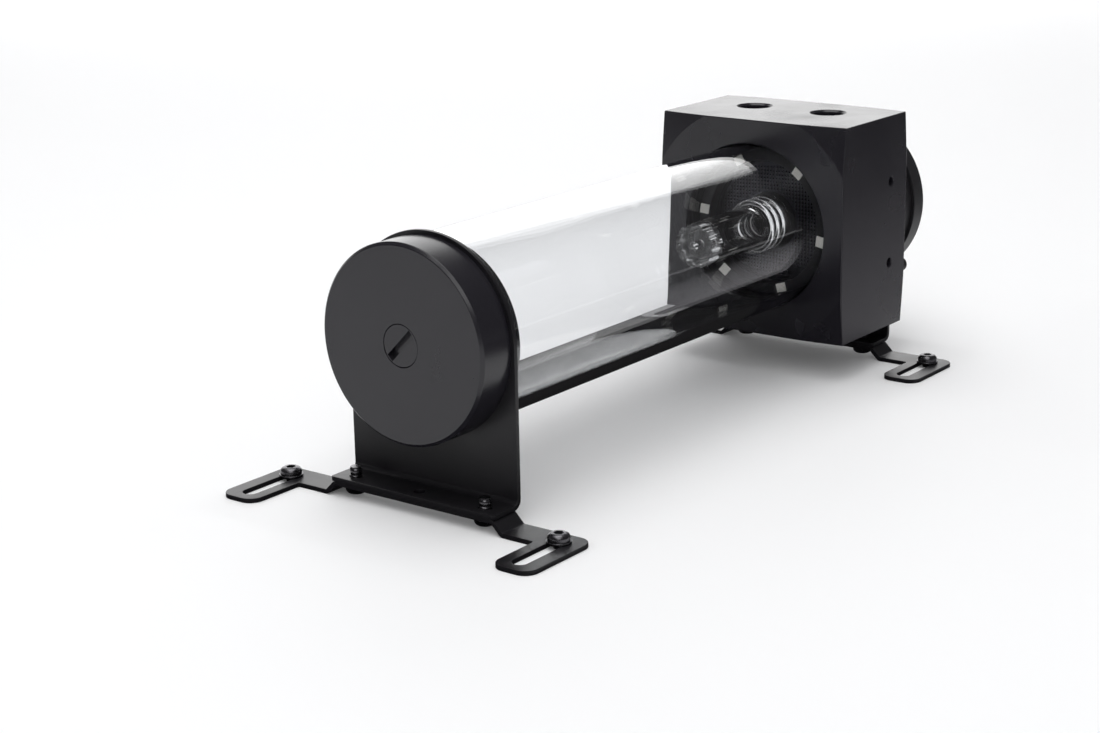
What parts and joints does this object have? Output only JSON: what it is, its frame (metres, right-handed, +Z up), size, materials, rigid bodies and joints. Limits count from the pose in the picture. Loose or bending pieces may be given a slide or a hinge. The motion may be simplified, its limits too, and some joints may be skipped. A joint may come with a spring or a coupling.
{
  "type": "coolant pump reservoir",
  "caption": "Clear coolant reservoir tube between a screw-plug end cap and a square pump block with ports and a motor, carried by angle brackets on slotted bridge plates.",
  "frame": {"origin": "middle of the four slots, on the underside of the bridge plates", "axes": "+X along the tube from the end cap to the pump, +Y across, +Z up from the plates towards the coolant ports"},
  "size_m": [0.286, 0.12, 0.092],
  "materials": {
    "satin_acetal": "satin machined black acetal",
    "black_sheet": "satin black coated steel sheet",
    "clear_tube": "clear polished glass",
    "clear_plastic": "clear moulded plastic",
    "dark_steel": "blackened steel with bright wear",
    "bright_steel": "ground steel",
    "seal_rubber": "black nitrile rubber",
    "pump_plastic": "black moulded glass-filled plastic",
    "white_plastic": "white moulded plastic",
    "chip_body": "light chips with a pale lens",
    "board": "green circuit board",
    "copper": "enamelled copper wire",
    "ferrite": "sintered magnet",
    "rotor_plastic": "dark moulded plastic",
    "mesh": "perforated stainless sheet"
  },
  "bodies": {
    "reservoir": {"front_bridge_plate": "black_sheet", "rear_bridge_plate": "black_sheet", "front_bracket": "black_sheet", "rear_bracket": "black_sheet", "reservoir_tube": "clear_tube", "end_cap": "satin_acetal", "cap_o_ring": "seal_rubber", "pump_top_block": "satin_acetal", "block_o_ring": "seal_rubber", "riser_tube": "clear_plastic", "riser_diffuser": "clear_plastic", "suction_strainer": "mesh", "led_ring": "white_plastic", "led_chips": "chip_body", "pump_housing": "pump_plastic", "pump_o_ring": "seal_rubber", "stator_core": "bright_steel", "stator_coils": "copper", "pump_rear_cover": "pump_plastic", "controller_board": "board", "speed_potentiometer": "white_plastic", "pump_cable_grommet": "seal_rubber", "led_cable_grommet": "seal_rubber", "bearing_post": "bright_steel", "front_bracket_screws": "dark_steel", "rear_bracket_screws": "dark_steel", "front_slot_screws": "dark_steel", "front_slot_washers": "dark_steel", "rear_slot_screws": "dark_steel", "rear_slot_washers": "dark_steel", "pump_screws": "dark_steel"},
    "rotor": {"impeller": "rotor_plastic", "rotor_magnet": "ferrite", "bearing_cup": "white_plastic"},
    "plug_seal": {"fill_plug_o_ring": "seal_rubber"},
    "fill_plug": {"fill_plug": "satin_acetal"},
    "speed_dial": {"speed_dial": "white_plastic"}
  },
  "joints": [
    {"name": "rotor_spin", "type": "hinge", "parent": "reservoir", "child": "rotor", "pos_m": [0.1225, 0, 0.053], "axis": [1, 0, 0], "continuous": true},
    {"name": "plug_travel", "type": "slide", "parent": "reservoir", "child": "plug_seal", "axis": [-1, 0, 0], "range_m": [0, 0.00802]},
    {"name": "plug_turn", "type": "hinge", "parent": "plug_seal", "child": "fill_plug", "pos_m": [-0.1055, 0, 0.053], "axis": [-1, 0, 0], "range_deg": [0, 2160]},
    {"name": "dial_turn", "type": "hinge", "parent": "reservoir", "child": "speed_dial", "pos_m": [0.155, 0.015, 0.053], "axis": [1, 0, 0], "range_deg": [0, 240]}
  ],
  "couplings": [
    {"joint": "plug_turn", "follows": "plug_travel", "rad_per_m": 4699.5}
  ]
}
